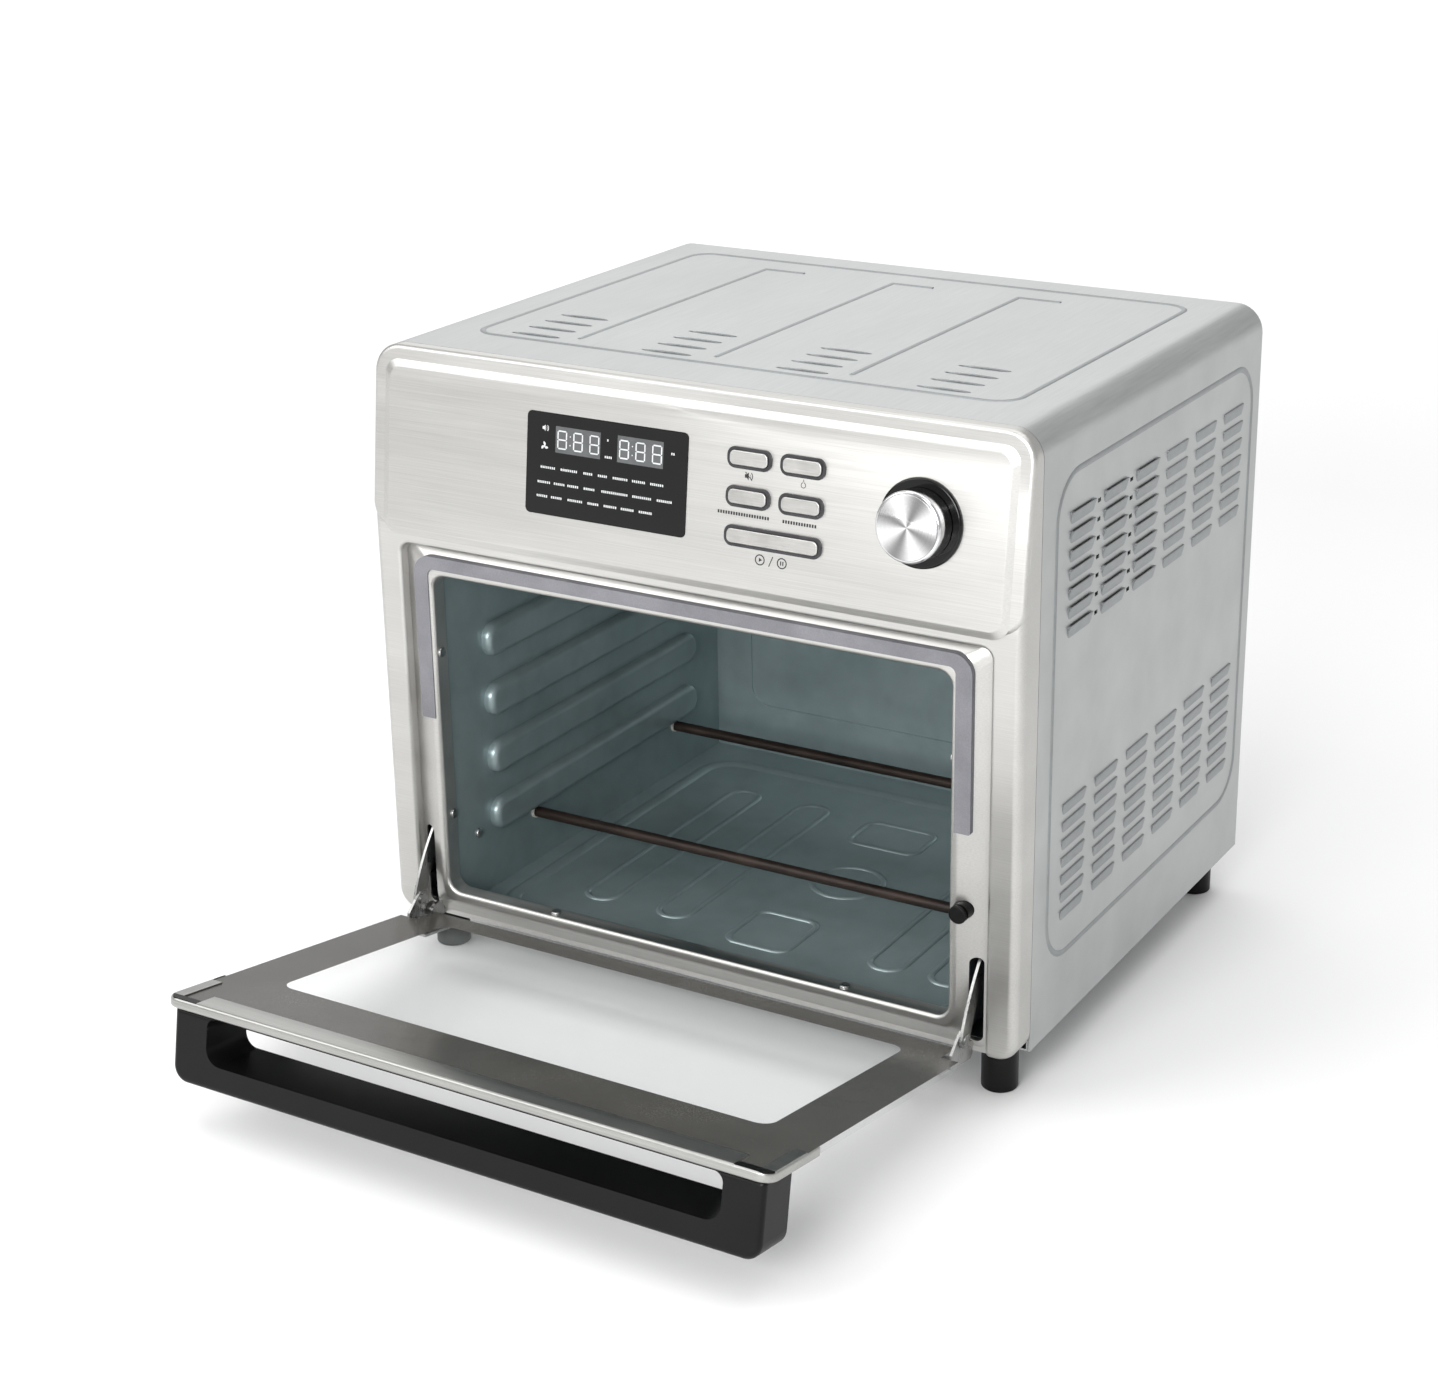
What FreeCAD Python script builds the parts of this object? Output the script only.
import FreeCAD, Part
import math
import os

os.makedirs("parts", exist_ok=True)
V = FreeCAD.Vector

# Frame: X to the right, Y towards the back, Z up. The origin is on the surface the oven stands on,
# at the centre of the rectangle made by its four feet. The door is drawn open, as it rests on its stop.

# casing
width = 400.0
depth = 300.0                 # wrap, from the seam behind the front frame to the back panel
body_bottom = 28.0            # the feet lift the casing this far
body_top = 366.0
corner = 16.0                 # bend radius of the casing
sheet = 1.0
seam_y = -146.0               # where the front frame meets the wrap
back_y = seam_y + depth
half = width / 2

# front frame
frame_depth = 18.0            # front face of the frame, ahead of the seam
valley_depth = 12.0           # bottom of the groove round the door recess
land_depth = 19.0             # raised land round the oven mouth
recess_half = 182.3
recess_top = 255.5
mouth_half = 161.0
mouth_bottom = 47.0
mouth_top = 240.0
plateau_bottom = 264.0        # lower edge of the control panel
lean = math.degrees(math.atan2(11.0, 92.0))   # the panel leans forward at its bottom edge
panel_y = seam_y - 15.5       # a point in the middle of the panel's face
panel_z = 310.0
slot_x = 175.7                # slots that the door's link arms run through
slot_width = 7.4
slot_bottom = 35.0
slot_top = 84.0

# door
hinge_y = seam_y - 20.5
hinge_z = 33.0
open_tilt = 10.5              # the open door stops this far above level
door_half = 179.5
door_reach = 217.0            # from the hinge line to the door's free edge
glass = 4.0

# controls, in the panel's own x and v (up along the panel from panel_z)
display_x = -45.0
display_v = 4.2
display_size = (101.0, 55.4)
button_places = {
    "button_mute": (42.5, 23.5, 24.0),
    "button_light": (73.7, 23.5, 24.0),
    "button_air_fry": (42.5, 3.4, 24.0),
    "button_oven": (73.7, 3.4, 24.0),
    "button_start": (58.1, -17.2, 55.2),
}
button_height = 9.4
knob_x = 141.5
knob_v = 4.5
knob_radius = 18.2
plunger_x = 168.8
plunger_z = 110.9

# oven cavity
wall_x = 162.0                # inner faces of the side walls
cavity_front = seam_y - 8.0
cavity_back = seam_y + 284.0
floor_z = 31.0
ceiling_z = 262.0
liner = 0.8
rib_levels = (77.0, 113.0, 149.0, 186.0)
heater_z = 63.0
heater_front_y = seam_y + 70.0
heater_rear_y = seam_y + 228.0
fan_y = seam_y + 140.0

foot_x = 180.0
foot_y = 139.0
foot_radius = 10.0

# side louvres: six columns of seven above and six of seven below, with heights of their top edges
louvre_length = 29.0
louvre_height = 6.5
louvre_proud = 1.6
louvre_columns = [seam_y + 34.0 + 42.0 * n for n in range(6)]
louvre_rows_high = [315.0 - 10.1 * n for n in range(7)]
louvre_rows_low = [156.5 - 10.15 * n for n in range(7)]
open_columns = 3              # of the upper rows, counted from the front; the others are blind
bead = 0.7                    # height of the pressed beads on the wrap

# top vents: groups of four slots, with the left and right end of each group
vent_groups = [(-145.5, -113.5), (-60.0, -28.5), (24.0, 55.5), (107.0, 138.0)]
vent_rows = [seam_y + 46.0 + 16.0 * n for n in range(4)]
rib_lines = (-103.0, -15.5, 67.0)   # L-shaped beads on top

# screws seen from outside: (y, z) on both side walls, and x on the sill
wall_screws = [(seam_y - 14.0, 193.0), (seam_y - 11.0, 93.0), (seam_y + 13.0, 71.0)]
sill_screws = (-90.0, 97.0)
sill_screw_y = seam_y - 13.5
back_screws = [(-180.0, 48.0), (180.0, 48.0), (-180.0, 340.0), (180.0, 340.0),
               (0.0, 48.0), (0.0, 345.0)]
cord_x = 120.0                # the power cord leaves through a gland here
cord_z = 62.0
cord_hole_r = 7.0
hole_r = 1.6                  # clearance hole of the small screws

# heaters and fan
rod_r = 3.25                  # heater rods
bush_r = 3.95                 # outside of their ceramic bushes
coil_r = 70.0                 # upper element, a ring round the fan, with two legs
coil_leg = 12.0               # x of the legs
coil_z = 251.0
shaft_r = 3.0
run_r = 3.06                  # bores that a shaft of shaft_r turns in
guard_rings = ((0, 1), (16, 7), (32, 14), (47, 20))   # radius and count of the guard's holes
housing_top = 288.0
motor_bottom = 296.0

# behind the panel, counted from the panel's face
board_y = 12.0                # front face of the circuit board
switch_y = 8.8                # tips of the switches that the buttons press
bezel_proud = 1.3

# door hardware
pin_r = 2.0
pin_run = 0.05                # radial clearance on the pins and rivets
rivet_d = 9.7                 # link arm rivet, from the hinge line along the door
rivet_n = 8.4                 # and above the glass
ear_x = 173.6
ear_thick = 1.5
trim_sheet = 0.8
plunger_r = 5.0
plunger_bore = 5.05
plunger_reach = 25.2          # tip of the plunger, ahead of the seam; 0.3 mm short of the shut glass


def box(x0, x1, y0, y1, z0, z1):
    return Part.makeBox(x1 - x0, y1 - y0, z1 - z0, V(x0, y0, z0))


def cyl(radius, length, place, axis=V(0, 0, 1)):
    return Part.makeCylinder(radius, length, place, axis)


def fuse(shapes):
    return shapes[0].multiFuse(shapes[1:]).removeSplitter()


def group(shapes):
    return Part.makeCompound(shapes)


def mirror(shape):
    return shape.mirror(V(0, 0, 0), V(1, 0, 0))


def rounded(x0, x1, z0, z1, radii, y):
    """Wire of a rectangle in the plane at y; radii are bottom left, bottom right, top right, top left."""
    bl, br, tr, tl = radii
    k = math.sqrt(0.5)
    spots = [
        ((x0 + bl, z0), (x1 - br, z0), (x1 - br, z0 + br), br, -45),
        ((x1, z0 + br), (x1, z1 - tr), (x1 - tr, z1 - tr), tr, 45),
        ((x1 - tr, z1), (x0 + tl, z1), (x0 + tl, z1 - tl), tl, 135),
        ((x0, z1 - tl), (x0, z0 + bl), (x0 + bl, z0 + bl), bl, 225),
    ]
    edges = []
    for n, (start, end, middle, r, angle) in enumerate(spots):
        edges.append(Part.LineSegment(V(start[0], y, start[1]), V(end[0], y, end[1])).toShape())
        after = spots[(n + 1) % 4][0]
        if r > 0:
            a = math.radians(angle)
            bulge = V(middle[0] + r * math.cos(a), y, middle[1] + r * math.sin(a))
            edges.append(Part.Arc(V(end[0], y, end[1]), bulge, V(after[0], y, after[1])).toShape())
    return Part.Wire(edges)


def slab(x0, x1, z0, z1, y0, y1, r=0.0, radii=None):
    """Rounded rectangle in X and Z, from y0 to y1."""
    wire = rounded(x0, x1, z0, z1, radii or (r, r, r, r), y0)
    return Part.Face(wire).extrude(V(0, y1 - y0, 0))


def plate(x0, x1, y0, y1, z0, z1, r=0.0):
    """Rounded rectangle in X and Y, from z0 to z1."""
    flat = slab(x0, x1, y0, y1, z0 - z1, 0, r)
    flat.rotate(V(0, 0, 0), V(1, 0, 0), -90)
    flat.translate(V(0, 0, z0))
    return flat


def along_x(points, x0, x1):
    """Closed outline of (y, z) points, from x0 to x1."""
    loop = [V(x0, y, z) for y, z in points]
    return Part.Face(Part.makePolygon(loop + loop[:1])).extrude(V(x1 - x0, 0, 0))


def along_y(points, y0, y1):
    """Closed outline of (x, z) points, from y0 to y1."""
    loop = [V(x, y0, z) for x, z in points]
    return Part.Face(Part.makePolygon(loop + loop[:1])).extrude(V(0, y1 - y0, 0))


def on_side(y0, y1, z0, z1, x0, x1, r=0.0):
    """Rounded rectangle in Y and Z, from x0 to x1."""
    shape = slab(y0, y1, z0, z1, -x1, -x0, r)
    shape.rotate(V(0, 0, 0), V(0, 0, 1), 90)
    return shape


def frame_of(maker, a0, a1, b0, b1, c0, c1, r, bar):
    """Rectangular ring, bar wide: maker is slab, plate or on_side."""
    outside = maker(a0, a1, b0, b1, c0, c1, r)
    inside = maker(a0 + bar, a1 - bar, b0 + bar, b1 - bar, c0, c1, r - bar)
    return outside.cut(inside)


def rod(radius, start, end):
    """Round bar between two points."""
    way = end - start
    return cyl(radius, way.Length, start, way)


def dome_screw(place, axis, head_r, head_h, shank_r, shank):
    """Screw whose head stands on the surface at place, its shank running against axis."""
    head = cyl(head_r, head_h, place, axis)
    rims = [e for e in head.Edges if e.Closed]
    crown = [e for e in rims if (e.CenterOfMass - place).dot(axis) > head_h / 2]
    head = head.makeFillet(head_h * 0.6, crown)
    return head.fuse(cyl(shank_r, shank, place - axis * shank, axis))


def frustum(lower, upper):
    return Part.makeLoft([lower, upper], True, True)


def on_panel(shape):
    """Moves a shape drawn about the panel's middle, facing -Y, onto the leaning panel."""
    shape.rotate(V(0, 0, 0), V(1, 0, 0), -lean)
    shape.translate(V(0, panel_y, panel_z))
    return shape


def on_door(shape):
    """Moves a shape drawn level, reaching along -Y from the hinge line, onto the open door."""
    shape.rotate(V(0, 0, 0), V(1, 0, 0), -open_tilt)
    shape.translate(V(0, hinge_y, hinge_z))
    return shape


def save(name, shape):
    shape.exportStep("parts/%s.step" % name)
    print(name, len(shape.Solids), "solids", round(shape.Volume), "mm3", "valid", shape.isValid())


def display_slab(inset, y0, y1, r):
    """The display's outline in the panel's own frame, drawn in by inset."""
    a = display_size[0] / 2 - inset
    b = display_size[1] / 2 - inset
    return slab(display_x - a, display_x + a, display_v - b, display_v + b, y0, y1, r)


# ---- front frame ----

def frame_volume(t):
    """The front frame's filled volume, drawn in by t on every side: two of them make the sheet."""
    front = seam_y - frame_depth + t
    rim = 1.5                                  # the panel's rim lies this far behind its field
    tilt = math.tan(math.radians(lean))

    def panel_line(z, back):
        return panel_y + back + (z - panel_z) * tilt + t

    low = body_bottom + t
    high = body_top - t
    outline = slab(-half + t, half - t, low, high, seam_y + t, seam_y - 40,
                   radii=(12, 12, corner, corner))
    body = along_x([
        (seam_y + t, low), (front, low), (front, plateau_bottom + 2),
        (panel_line(high, rim + 3), high), (seam_y + t, high)], -half, half)
    body = body.common(outline)
    body = body.makeFillet(5.0 - t, [e for e in body.Edges if lower_front_edge(e)])
    plateau_edge = plateau_bottom + t
    plateau = along_x([
        (seam_y + t, plateau_edge), (panel_line(plateau_edge, rim), plateau_edge),
        (panel_line(high, rim), high), (seam_y + t, high)], -half, half)
    plateau = plateau.common(slab(-half + t, half - t, plateau_edge, high, seam_y + t, seam_y - 40,
                                  radii=(14, 14, corner, corner)))
    plateau = plateau.makeFillet(2.6 - t, front_face(plateau).Edges)
    body = body.fuse(plateau)
    field = frustum(
        rounded(-192 + t, 192 - t, -48.5 + t, 49 - t, (9, 9, 9, 9), rim + t + 0.01),
        rounded(-188 + t, 188 - t, -44.5 + t, 45 - t, (7, 7, 7, 7), t))
    field = field.makeFillet(2.2 - t, front_face(field).Edges)
    body = body.fuse(on_panel(field))
    floor_y = seam_y - valley_depth + t
    recess = slab(-recess_half - t, recess_half + t, body_bottom - 5, recess_top + t,
                  seam_y - 40, floor_y, radii=(0.5, 0.5, 6, 6))
    body = body.cut(recess)
    body = body.makeFillet(2.4 - t, loop_edges(body, front, recess_half + t + 0.1, recess_top + t + 0.1))
    land = frustum(
        rounded(-recess_half, recess_half, 31 + t, recess_top, (6, 6, 6, 6), floor_y + 0.01),
        rounded(-165 + t, 165 - t, 41 + t, 244.5 - t, (9, 9, 9, 9), seam_y - land_depth + t))
    land = land.makeFillet(5.0 - t, front_face(land).Edges)
    body = body.fuse(land)
    mouth = slab(-mouth_half - t, mouth_half + t, mouth_bottom - t, mouth_top + t,
                 seam_y - 40, seam_y + 5, 8)
    body = body.cut(mouth)
    edge = loop_edges(body, seam_y - land_depth + t, mouth_half + t + 0.1, mouth_top + t + 0.1)
    return body.makeFillet(2.2 - t, edge)


def front_face(shape):
    return max(shape.Faces, key=lambda f: f.Area * (f.normalAt(0, 0).y < -0.9))


def loop_edges(shape, y, reach, top):
    """Edges in the plane at y that lie within reach of the middle and below top."""
    found = []
    for edge in shape.Edges:
        b = edge.BoundBox
        in_plane = abs(b.YMin - y) < 0.01 and abs(b.YMax - y) < 0.01
        if in_plane and max(-b.XMin, b.XMax) < reach and b.ZMax < top:
            found.append(edge)
    return found


def lower_front_edge(edge):
    """Front edges of the frame's outline, below the control panel."""
    b = edge.BoundBox
    across = b.XLength > 100 and b.ZMax > body_bottom + 2
    return b.YLength < 0.1 and b.YMax < seam_y - 10 and b.ZMax < plateau_bottom + 3 and not across


def front_frame(volume):
    shell = volume.cut(frame_volume(sheet))
    behind = slab(-half - 5, half + 5, body_bottom - 5, body_top + 5, seam_y, seam_y + 20)
    throat = slab(-mouth_half - 3, mouth_half + 3, mouth_bottom - 3, mouth_top + 3,
                  seam_y - 8.5, seam_y + 5, 8)
    cuts = [behind, throat]
    for middle in (-slot_x, slot_x):
        cuts.append(slab(middle - slot_width / 2, middle + slot_width / 2, slot_bottom, slot_top,
                         seam_y - 40, seam_y - 3, 3.6))
    for y, z in wall_screws[:2]:
        cuts.append(rod(hole_r, V(-170, y, z), V(170, y, z)))
    for x in sill_screws:
        cuts.append(cyl(hole_r, 8, V(x, sill_screw_y, mouth_bottom - 6)))
    cuts.append(cyl(5.3, 40, V(plunger_x, seam_y - 40, plunger_z), V(0, 1, 0)))
    cuts.append(on_panel(display_slab(0, -5, 5, 3)))
    for x, v, length in button_places.values():
        a = length / 2
        b = button_height / 2
        cuts.append(on_panel(slab(x - a, x + a, v - b, v + b, -5, 5, 4)))
    cuts.append(on_panel(cyl(4.5, 20, V(knob_x, -10, knob_v), V(0, 1, 0))))
    return shell.cut(cuts)


# ---- casing ----

def outer_wrap():
    front = seam_y + 0.5
    outside = slab(-half, half, body_bottom, body_top, front, back_y, radii=(0, 0, corner, corner))
    inside = slab(-half + sheet, half - sheet, body_bottom - 5, body_top - sheet, front - 1, back_y + 1,
                  radii=(0, 0, corner - sheet, corner - sheet))
    sink = 0.3                                   # how far added shapes reach into the sheet
    added = []
    cuts = []
    for rows, is_high in ((louvre_rows_high, True), (louvre_rows_low, False)):
        for column, y in enumerate(louvre_columns):
            for top in rows:
                added.append(along_y([
                    (half - sink, top - louvre_height), (half, top - louvre_height),
                    (half + louvre_proud, top), (half - sink, top)], y, y + louvre_length))
                if is_high and column < open_columns:
                    slit = [(half, top + 0.2), (half + 1.0, top + 0.2), (half + 1.0, top - 1.0),
                            (half - 1.1, top - 4.5), (half - 1.1, top - 1.5), (half, top - 1.5)]
                    cuts.append(along_y(slit, y + 3, y + 26))
            if is_high and column < 2:
                gap = y + louvre_length + 6.5
                for top in rows:
                    cuts.append(on_side(gap - 1, gap + 1, top - 5.5, top - 0.5, half - 2, half + 2, 0.95))
    added.append(frame_of(on_side, seam_y + 18, seam_y + 288, 69, 336, half - sink, half + bead, 25, 3))
    sides = added + [mirror(shape) for shape in added]
    cuts += [mirror(shape) for shape in cuts]
    top_bead = (body_top - sink, body_top + bead)
    sides.append(frame_of(plate, -165, 165, seam_y + 36, seam_y + 277, *top_bead, 14, 3))
    for x in rib_lines:
        sides.append(box(x - 1.5, x + 1.5, seam_y + 50, seam_y + 254.5, *top_bead))
        sides.append(box(x + 1, x + 28, seam_y + 251.5, seam_y + 254.5, *top_bead))
    for left, right in vent_groups:
        for y in vent_rows:
            cuts.append(plate(left, right, y - 1.5, y + 1.5, body_top - 3, body_top + 3, 1.45))
    return outside.cut(inside).multiFuse(sides).cut(cuts)


def back_panel():
    edge = half - sheet - 0.3
    top = body_top - sheet - 0.3
    radii = (3, 3, corner - sheet - 0.3, corner - sheet - 0.3)
    tray = slab(-edge, edge, body_bottom + 1.2, top, back_y - 10.5, back_y - 3, radii=radii)
    inner = (2, 2, radii[2] - sheet, radii[2] - sheet)
    tray = tray.cut(slab(-edge + sheet, edge - sheet, body_bottom + 1.2 + sheet, top - sheet,
                         back_y - 12, back_y - 3 - sheet, radii=inner))
    cuts = [cyl(hole_r, 20, V(x, back_y - 12, z), V(0, 1, 0)) for x, z in back_screws]
    for n in range(7):
        z = 270 + 10 * n
        for x in (-70, 70):
            cuts.append(slab(x - 45, x + 45, z, z + 3, back_y - 6, back_y, 1.45))
    cuts.append(cyl(cord_hole_r, 20, V(cord_x, back_y - 12, cord_z), V(0, 1, 0)))
    return tray.cut(cuts)


def cord_gland():
    """Moulded bush in the back panel's hole, closed where the cord is moulded into it."""
    out = V(0, 1, 0)
    face = back_y - 3
    plug = cyl(cord_hole_r - 0.1, 6, V(cord_x, face - 3.5, cord_z), out)
    collar = cyl(10.5, 2.2, V(cord_x, face, cord_z), out)
    collar = collar.makeFillet(1, [e for e in collar.Edges if e.Closed and e.BoundBox.YMin > face + 2.1])
    return plug.fuse(collar)


def base_panel():
    edge = half - sheet - 0.3
    front = seam_y + 0.6
    rear = back_y - 10.8
    panel = box(-edge, edge, front, rear, body_bottom, body_bottom + sheet)
    flanges = [box(-edge, -edge + sheet, front, rear, body_bottom, body_bottom + 10),
               box(edge - sheet, edge, front, rear, body_bottom, body_bottom + 10)]
    cuts = [cyl(2.1, 10, V(x, y, body_bottom - 3)) for x in (-foot_x, foot_x) for y in (-foot_y, foot_y)]
    for n in range(9):
        x = -80 + 20 * n
        cuts.append(plate(x - 1.5, x + 1.5, -30, 30, body_bottom - 2, body_bottom + 3, 1.45))
    return fuse([panel] + flanges).cut(cuts)


def foot(x, y):
    body = cyl(foot_radius, body_bottom, V(x, y, 0))
    body = body.makeFillet(1.2, [e for e in body.Edges if e.BoundBox.ZMax < 0.1])
    return body.cut([cyl(2.2, body_bottom + 2, V(x, y, -1)), cyl(4.2, 16, V(x, y, -1))])


def foot_screws():
    up = V(0, 0, 1)
    screws = []
    for x in (-foot_x, foot_x):
        for y in (-foot_y, foot_y):
            screws.append(cyl(3.7, 2.2, V(x, y, 12.8)).fuse(cyl(1.95, 19, V(x, y, 15), up)))
    return group(screws)


def case_screws():
    return group([dome_screw(V(x, back_y - 3, z), V(0, 1, 0), 3.4, 1.8, 1.5, 9) for x, z in back_screws])


# ---- oven cavity ----

def cavity_wall():
    """Right-hand wall, with four pressed shelf ribs."""
    def rib_block(level, t, reach):
        block = on_side(seam_y + 25 + t, seam_y + 250 - t, level - 10 + t, level + 10 - t,
                        wall_x - 6 + t, reach, 9 - t)
        crest = [e for e in block.Edges if e.BoundBox.XMax < wall_x - 5.9 + t]
        return block.makeFillet(4 - t, crest)

    wall = on_side(cavity_front, cavity_back, floor_z, ceiling_z, wall_x, wall_x + liner)
    wall = wall.multiFuse([rib_block(level, 0, wall_x + liner) for level in rib_levels])
    cuts = [rib_block(level, liner, wall_x + 5) for level in rib_levels]
    for y in (heater_front_y, heater_rear_y):
        cuts.append(cyl(bush_r, 20, V(wall_x - 5, y, heater_z), V(1, 0, 0)))
    y, z = wall_screws[2]
    cuts.append(cyl(hole_r, 20, V(wall_x - 5, y, z), V(1, 0, 0)))
    return wall.cut(cuts)


def cavity_floor():
    pan = box(-wall_x - liner, wall_x + liner, cavity_front, cavity_back, floor_z - liner, floor_z)
    low = floor_z - 0.3
    high = floor_z + 1.0
    middle = V(20, seam_y + 131, low)
    ring = cyl(23, high - low, middle).cut(cyl(20, high - low, middle))
    shapes = [ring,
              frame_of(plate, -150, 150, seam_y + 4, seam_y + 262, low, high, 20, 4),
              frame_of(plate, -11, 39, seam_y + 182, seam_y + 219, low, high, 8, 3),
              frame_of(plate, -8, 35, seam_y + 30, seam_y + 76, low, high, 8, 3)]
    for x in (-112, -62, 78, 116):
        shapes.append(frame_of(plate, x, x + 24, seam_y + 40, seam_y + 222, low, high, 11.5, 3))
    return pan.multiFuse(shapes)


def cavity_top():
    reach = wall_x + liner
    panel = box(-reach, reach, cavity_front, cavity_back + liner, ceiling_z, ceiling_z + liner)
    cuts = [cyl(60, 5, V(0, fan_y, ceiling_z - 2))]
    leg_y = fan_y + math.sqrt(coil_r ** 2 - coil_leg ** 2)
    for x in (-coil_leg, coil_leg):
        cuts.append(cyl(rod_r + 0.4, 5, V(x, leg_y, ceiling_z - 2)))
    return panel.cut(cuts)


def cavity_back_wall():
    reach = wall_x + liner
    panel = box(-reach, reach, cavity_back, cavity_back + liner, floor_z - liner, ceiling_z)
    ridge = frame_of(slab, -140, 140, 60, 235, cavity_back - 1.2, cavity_back + 0.3, 18, 5)
    return panel.fuse(ridge)


def cavity_screws():
    screws = []
    for n, (y, z) in enumerate(wall_screws):
        face = wall_x if n == 2 else mouth_half
        for side in (-1, 1):
            screws.append(dome_screw(V(side * face, y, z), V(-side, 0, 0), 3.0, 1.4, 1.5, 6))
    for x in sill_screws:
        screws.append(dome_screw(V(x, sill_screw_y, mouth_bottom), V(0, 0, 1), 3.0, 1.4, 1.5, 6))
    return group(screws)


def silicone_strip(volume):
    """Upside-down U that the closed door's trim meets, shaped to the land behind it."""
    outer = slab(-172.8, 172.8, 154, 251, seam_y - 19.5, seam_y - valley_depth, radii=(1, 1, 11, 11))
    inner = slab(-163.5, 163.5, 150, 243.6, seam_y - 22, seam_y, radii=(0, 0, 4, 4))
    return outer.cut(inner).cut(volume)


# ---- heaters and fan ----

def heater_rod(y):
    bar = rod(rod_r, V(-wall_x - 6, y, heater_z), V(wall_x + 6, y, heater_z))
    pins = rod(1.5, V(-wall_x - 10, y, heater_z), V(wall_x + 10, y, heater_z))
    return bar.fuse(pins)


def heater_bushings():
    bushes = []
    for y in (heater_front_y, heater_rear_y):
        for side in (-1, 1):
            out = V(side, 0, 0)
            start = V(side * (wall_x - 1.5), y, heater_z)
            bush = cyl(bush_r, 4.8, start, out)
            collar = cyl(6.5, 2.5, V(side * (wall_x + liner), y, heater_z), out)
            bore = cyl(rod_r, 12, V(side * (wall_x - 4), y, heater_z), out)
            bushes.append(bush.fuse(collar).cut(bore))
    return group(bushes)


def heater_upper():
    leg_y = fan_y + math.sqrt(coil_r ** 2 - coil_leg ** 2)
    ring = Part.makeTorus(coil_r, rod_r, V(0, fan_y, coil_z))
    ring = ring.cut(box(-coil_leg, coil_leg, fan_y + 50, fan_y + 90, coil_z - 8, coil_z + 8))
    legs = [cyl(rod_r, 20, V(x, leg_y, coil_z)) for x in (-coil_leg, coil_leg)]
    return fuse([ring] + legs)


def fan_guard():
    guard = cyl(65, 1, V(0, fan_y, ceiling_z - 1))
    holes = []
    for radius, count in guard_rings:
        for n in range(count):
            a = 2 * math.pi * n / count
            place = V(radius * math.cos(a), fan_y + radius * math.sin(a), ceiling_z - 3)
            holes.append(cyl(4.5, 4, place))
    return guard.cut(holes)


def fan_housing():
    low = ceiling_z + liner
    high = housing_top - low
    cup = cyl(78, high, V(0, fan_y, low)).cut(cyl(78 - liner, high - liner, V(0, fan_y, low)))
    return cup.cut(cyl(8, 60, V(0, fan_y, low)))


def wheel(radius, hub_r, low, high, blades, disc):
    """Radial fan wheel; disc is the thickness of its back plate, or 0 for none."""
    parts = [cyl(hub_r, high - low, V(0, fan_y, low))]
    if disc:
        parts.append(cyl(radius, disc, V(0, fan_y, high - disc)))
    for n in range(blades):
        blade = box(hub_r - 1, radius, -0.5, 0.5, low, high)
        blade.rotate(V(0, 0, 0), V(0, 0, 1), 360.0 * n / blades)
        blade.translate(V(0, fan_y, 0))
        parts.append(blade)
    return fuse(parts).cut(cyl(shaft_r, high - low + 2, V(0, fan_y, low - 1)))


def motor():
    return cyl(30, 34, V(0, fan_y, motor_bottom)).cut(cyl(run_r, 40, V(0, fan_y, motor_bottom - 2)))


def motor_bracket():
    bridge = box(-66, 66, fan_y - 16, fan_y + 16, motor_bottom - 1.2, motor_bottom)
    posts = [box(x - 6, x + 6, fan_y - 16, fan_y + 16, housing_top, motor_bottom) for x in (-60, 60)]
    return fuse([bridge] + posts).cut(cyl(8, 20, V(0, fan_y, housing_top)))


# ---- controls ----

def display_window():
    gap = 0.15
    return on_panel(display_slab(gap, -0.4, 1.8, 3 - gap))


def digit_display():
    return on_panel(display_slab(3, 2.4, board_y, 1))


def display_board():
    board = slab(-105, 160, -34, 36, board_y, board_y + 1.6, 2)
    switches = []
    for x, v, length in button_places.values():
        switches.append(slab(x - 3, x + 3, v - 3, v + 3, 9.3, board_y, 0.4))
        switches.append(cyl(1.6, 1, V(x, switch_y, v), V(0, 1, 0)))
    return on_panel(board.multiFuse(switches))


def encoder():
    case = slab(knob_x - 6.5, knob_x + 6.5, knob_v - 6.5, knob_v + 6.5, 4, board_y, 1)
    bush = cyl(4.2, 6, V(knob_x, -1.5, knob_v), V(0, 1, 0))
    return on_panel(case.fuse(bush).cut(cyl(run_r, 12, V(knob_x, -2, knob_v), V(0, 1, 0))))


def button_bezels():
    rings = []
    for x, v, length in button_places.values():
        a = length / 2 + 1
        b = button_height / 2 + 0.9
        rings.append(frame_of(slab, x - a, x + a, v - b, v + b, -bezel_proud, 0, 4.6, 1.5))
    return group([on_panel(ring) for ring in rings])


def button(x, v, length):
    """Cap, the flange that keeps it behind the panel, and the stem to its switch."""
    a = length / 2 - 0.8
    b = button_height / 2 - 0.9
    cap = slab(x - a, x + a, v - b, v + b, -2.3, 2.3, 2.9)
    cap = cap.makeFillet(0.6, [e for e in cap.Edges if e.BoundBox.YMax < -2.2])
    flange = slab(x - length / 2 - 0.8, x + length / 2 + 0.8, v - 5.3, v + 5.3, 1.3, 2.3, 2.5)
    stem = cyl(1.6, 5.4, V(x, 2.1, v), V(0, 1, 0))
    return on_panel(fuse([cap, flange, stem]))


def knob_bezel():
    disc = cyl(23, 2.5, V(knob_x, -2.5, knob_v), V(0, 1, 0))
    disc = disc.makeFillet(1.2, [e for e in disc.Edges if e.BoundBox.YMax < -2.4])
    return on_panel(disc.cut(cyl(4.6, 10, V(knob_x, -5, knob_v), V(0, 1, 0))))


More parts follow.
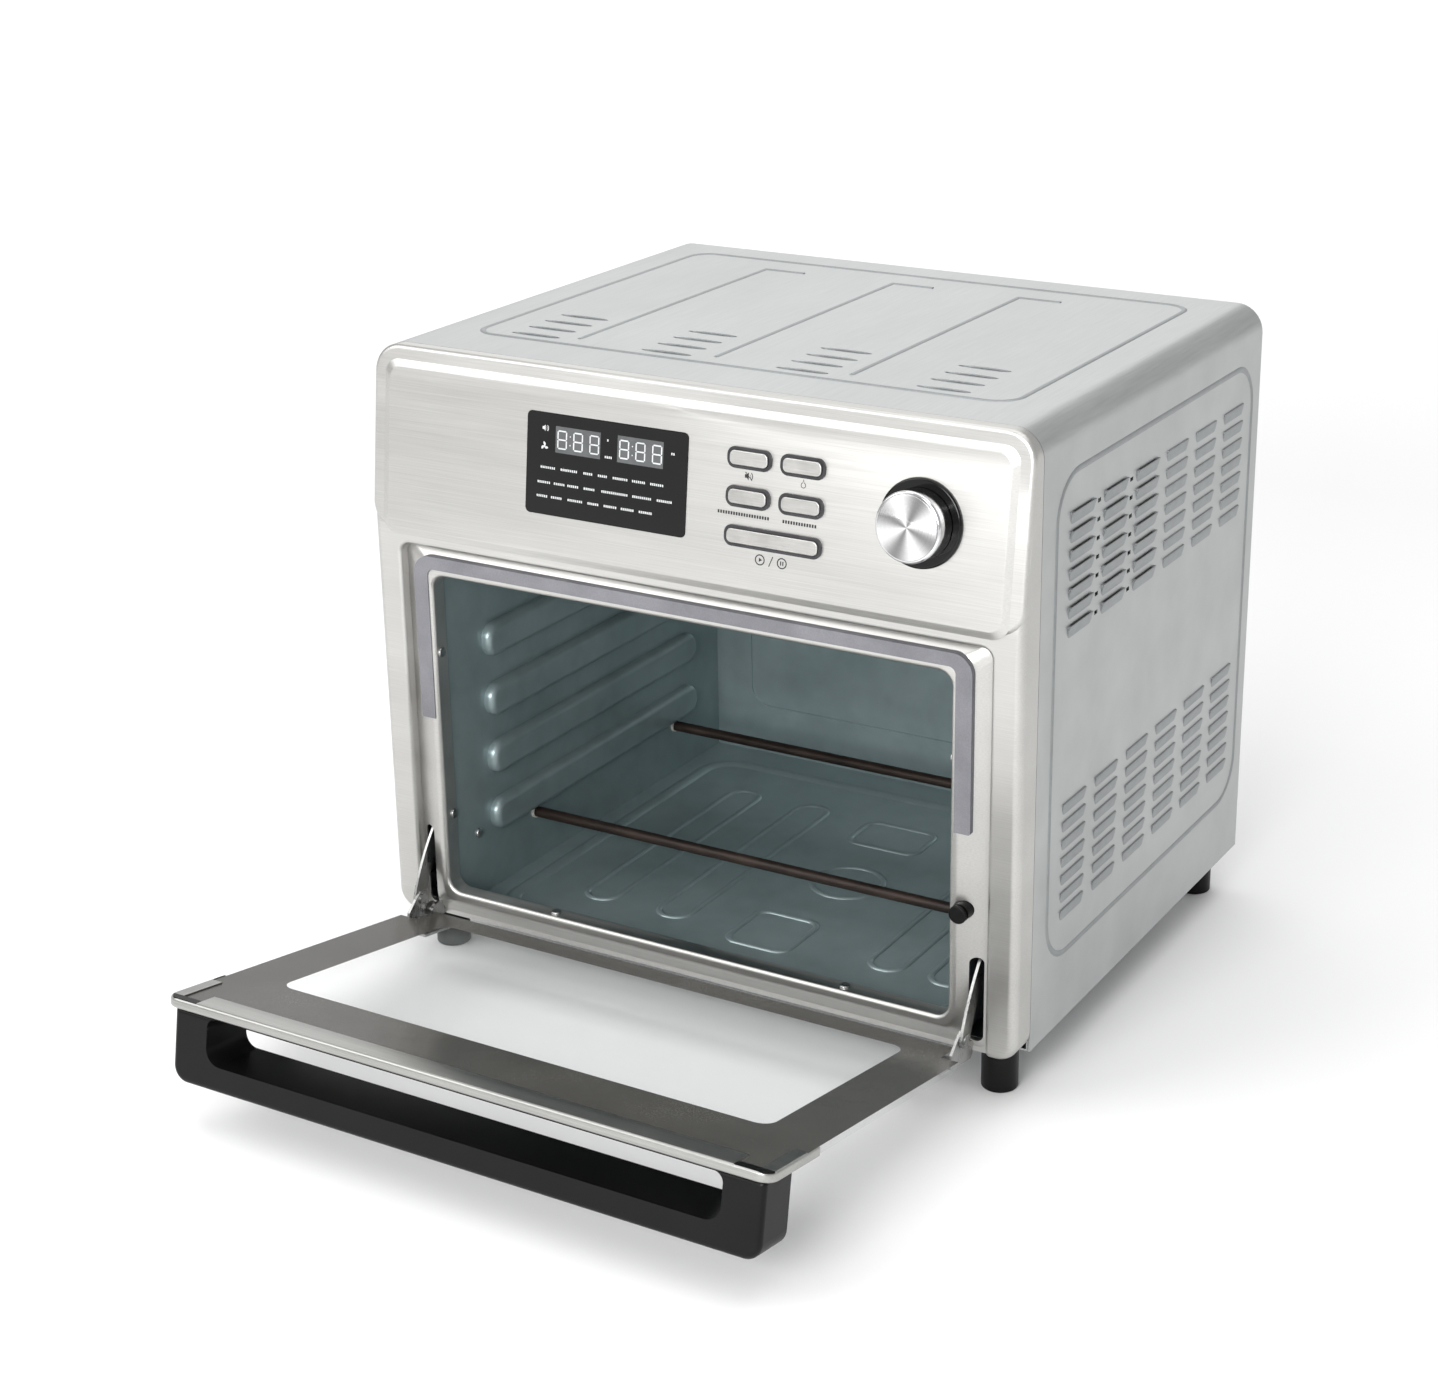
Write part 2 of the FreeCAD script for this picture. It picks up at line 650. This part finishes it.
def knob():
    middle = V(knob_x, 0, knob_v)
    back = V(0, 1, 0)
    cup = cyl(knob_radius, 12.4, middle - back * 15.6, back)
    cup = cup.makeFillet(1.4, [e for e in cup.Edges if e.Closed and e.BoundBox.YMax < -15.5])
    cup = cup.cut(cyl(knob_radius - 2, 10, middle - back * 13.2, back))
    boss = cyl(5.2, 10.4, middle - back * 14, back)
    return on_panel(cup.fuse(boss).cut(cyl(shaft_r, 12, middle - back * 11, back)))


def knob_face():
    disc = cyl(knob_radius - 1.6, 0.8, V(knob_x, -16.4, knob_v), V(0, 1, 0))
    return on_panel(disc.makeFillet(0.4, [e for e in disc.Edges if e.Closed and e.BoundBox.YMax < -16.3]))


def encoder_shaft():
    return on_panel(cyl(shaft_r, 19.8, V(knob_x, -11, knob_v), V(0, 1, 0)))


def door_switch():
    """Housing behind the frame that the plunger slides in."""
    case = box(163.2, 174.4, seam_y - 8, seam_y + 22, plunger_z - 7, plunger_z + 7)
    return case.cut(cyl(plunger_bore, 25, V(plunger_x, seam_y - 9, plunger_z), V(0, 1, 0)))


def door_plunger():
    """Rod that the closing door pushes in; it stands just clear of the glass when shut."""
    tip = seam_y - plunger_reach
    back = V(0, 1, 0)
    bar = cyl(plunger_r, 31, V(plunger_x, tip, plunger_z), back)
    bar = bar.makeFillet(0.8, [e for e in bar.Edges if e.Closed and e.BoundBox.YMax < tip + 0.1])
    groove = cyl(plunger_r + 1, 1.5, V(plunger_x, tip + 1.6, plunger_z), back)
    return bar.cut(groove.cut(cyl(plunger_r - 1, 3, V(plunger_x, tip + 1, plunger_z), back)))


# ---- door, drawn level and reaching along -Y from its hinge line ----

def door_glass():
    pane = plate(-door_half, door_half, -door_reach, -3, -glass, 0, 7)
    notch = box(169, 185, -22, -2, -glass - 1, 1)
    return on_door(pane.cut([notch, mirror(notch)]))


def door_trim():
    """Folded band round the front edge of the glass, with flanges above and below it."""
    low = -glass - trim_sheet
    outer = plate(-door_half - 1, door_half + 1, -door_reach - 1, -90, low, trim_sheet, 8)
    inner = plate(-door_half, door_half, -door_reach, -80, low - 1, 2, 7)
    band = outer.cut([inner, box(-200, 200, -door_reach + 45, 0, -20, 20)])
    flanges = [box(-160, 160, -door_reach - 0.5, -door_reach + 14, 0, trim_sheet),
               box(-172, 172, -door_reach - 0.5, -door_reach + 14, low, -glass)]
    for side in (-1, 1):
        clip = box(172.5, door_half + 0.5, -door_reach + 5, -door_reach + 34, 0, trim_sheet)
        flanges.append(clip if side > 0 else mirror(clip))
        foot_clip = box(174, door_half + 0.5, -door_reach + 9, -door_reach + 34, low, -glass)
        flanges.append(foot_clip if side > 0 else mirror(foot_clip))
    return on_door(band.multiFuse(flanges))


def trim_end_caps():
    """Soft corner fillers between the trim's front flange and its side clips."""
    edge = door_half - 0.1
    near = -door_reach + 0.1
    wedge = plate(-edge, edge, near, -90, 0, 0.7, 6.9)
    wedge = wedge.common(box(160.4, door_half, -door_reach, near + 4.6, -1, 2))
    return on_door(group([wedge, mirror(wedge)]))


def handle():
    top = -glass - trim_sheet
    low = -45.0
    near = -door_reach + 2
    far = near + 25
    block = slab(-176, 176, low, top, near, far, radii=(9, 9, 2, 2))
    outline = [e for e in block.Edges if e.BoundBox.YMax < near + 0.1 and e.BoundBox.ZMax < top - 0.1]
    block = block.makeFillet(3, outline)
    slot = frustum(rounded(-154, 154, -31, -6.3, (9, 9, 5, 5), near - 0.01),
                   rounded(-149, 149, -26, -8, (8, 8, 5, 5), far + 0.01))
    return on_door(block.cut(slot))


def door_bracket():
    """Folded bracket on the door's right corner: a flange under the glass and an ear for the pins."""
    ear = along_x([(4, -3.5), (4, 3), (2, 4.5), (-3.4, 4.7), (-4.2, 8), (-6, 12.4), (-12, 13), (-16, 9),
                   (-21.6, 2), (-21.6, -5.5), (2, -5.5)], ear_x, ear_x + ear_thick)
    flange = box(154, ear_x + 0.5, -32, -7, -5.5, -glass)
    holes = [rod(pin_r + pin_run, V(160, 0, 0), V(190, 0, 0)),
             rod(pin_r, V(ear_x - 2, -rivet_d, rivet_n), V(190, -rivet_d, rivet_n))]
    return on_door(ear.fuse(flange).cut(holes))


def bracket_rivets():
    y = -rivet_d
    z = rivet_n
    body = rod(pin_r, V(ear_x - 0.95, y, z), V(ear_x + 4.3, y, z))
    heads = [rod(3.2, V(x, y, z), V(x + 0.95, y, z)) for x in (ear_x - 0.95, ear_x + 3.35)]
    rivet = fuse([body] + heads)
    return on_door(group([rivet, mirror(rivet)]))


def hinge_mounts(volume):
    """Lugs on the frame that carry the door's two hinge pins."""
    inner = 169.8
    thick = 2.0
    r = 4.5
    eye = cyl(r, thick, V(inner, hinge_y, hinge_z), V(1, 0, 0))
    arm = box(inner, inner + thick, hinge_y, seam_y - valley_depth, hinge_z - r, hinge_z + r)
    pin = rod(pin_r, V(inner + 1.2, hinge_y, hinge_z), V(175.3, hinge_y, hinge_z))
    mount = max(eye.fuse(arm).cut(volume).fuse(pin).Solids, key=lambda s: s.Volume)
    return group([mount, mirror(mount)])


def link_arm():
    """Crescent blade from the door's rivet, through the slot in the frame, into the side channel."""
    start = on_door(Part.Vertex(V(0, -rivet_d, rivet_n))).Point
    middle = V(0, seam_y - 12.2, 73)
    end = V(0, seam_y + 12, 97)
    spine = Part.Arc(start, middle, end).toShape().Curve
    centre = spine.Center
    radius = spine.Radius
    wide = 5.0
    across = []
    for reach in (radius - wide, radius + wide):
        across.append([centre + (p - centre).normalize() * reach for p in (start, middle, end)])
    inner, outer = across
    outline = Part.Wire([
        Part.Arc(*inner).toShape(), Part.LineSegment(inner[2], outer[2]).toShape(),
        Part.Arc(*reversed(outer)).toShape(), Part.LineSegment(outer[0], inner[0]).toShape()])
    blade = Part.Face(outline).extrude(V(1.5, 0, 0))
    ends = [cyl(wide, 1.5, p, V(1, 0, 0)) for p in (start, end)]
    holes = [cyl(pin_r + pin_run, 4, start - V(1, 0, 0), V(1, 0, 0)),
             cyl(pin_r, 4, end - V(1, 0, 0), V(1, 0, 0))]
    arm = fuse([blade] + ends).cut(holes)
    arm.translate(V(ear_x + 1.7, 0, 0))
    return arm


volume = frame_volume(0)
save("front_frame", front_frame(volume))
save("outer_wrap", outer_wrap())
save("back_panel", back_panel())
save("cord_gland", cord_gland())
save("base_panel", base_panel())
for end, y in (("front", -foot_y), ("rear", foot_y)):
    save("foot_%s_left" % end, foot(-foot_x, y))
    save("foot_%s_right" % end, foot(foot_x, y))
save("foot_screws", foot_screws())
save("case_screws", case_screws())

right_wall = cavity_wall()
save("cavity_right_wall", right_wall)
save("cavity_left_wall", mirror(right_wall))
save("cavity_floor", cavity_floor())
save("cavity_top", cavity_top())
save("cavity_back_wall", cavity_back_wall())
save("cavity_screws", cavity_screws())
save("silicone_strip", silicone_strip(volume))

save("heater_lower_front", heater_rod(heater_front_y))
save("heater_lower_rear", heater_rod(heater_rear_y))
save("heater_bushings", heater_bushings())
save("heater_upper", heater_upper())
save("fan_guard", fan_guard())
save("fan_housing", fan_housing())
save("fan_rotor", wheel(55, 9, 267, 281, 12, 1.0))
save("cooling_fan", wheel(34, 8, 336, 344, 8, 0))
save("motor_shaft", cyl(shaft_r, 81, V(0, fan_y, 265)))
save("motor", motor())
save("motor_bracket", motor_bracket())

save("display_window", display_window())
save("digit_display", digit_display())
save("display_board", display_board())
save("encoder", encoder())
save("encoder_shaft", encoder_shaft())
save("button_bezels", button_bezels())
for name, place in button_places.items():
    save(name, button(*place))
save("knob_bezel", knob_bezel())
save("knob", knob())
save("knob_face", knob_face())
save("door_switch", door_switch())
save("door_plunger", door_plunger())

save("door_glass", door_glass())
save("door_trim", door_trim())
save("trim_end_caps", trim_end_caps())
save("handle", handle())
bracket = door_bracket()
save("door_bracket_right", bracket)
save("door_bracket_left", mirror(bracket))
save("bracket_rivets", bracket_rivets())
save("hinge_mounts", hinge_mounts(volume))
arm = link_arm()
save("link_arm_right", arm)
save("link_arm_left", mirror(arm))
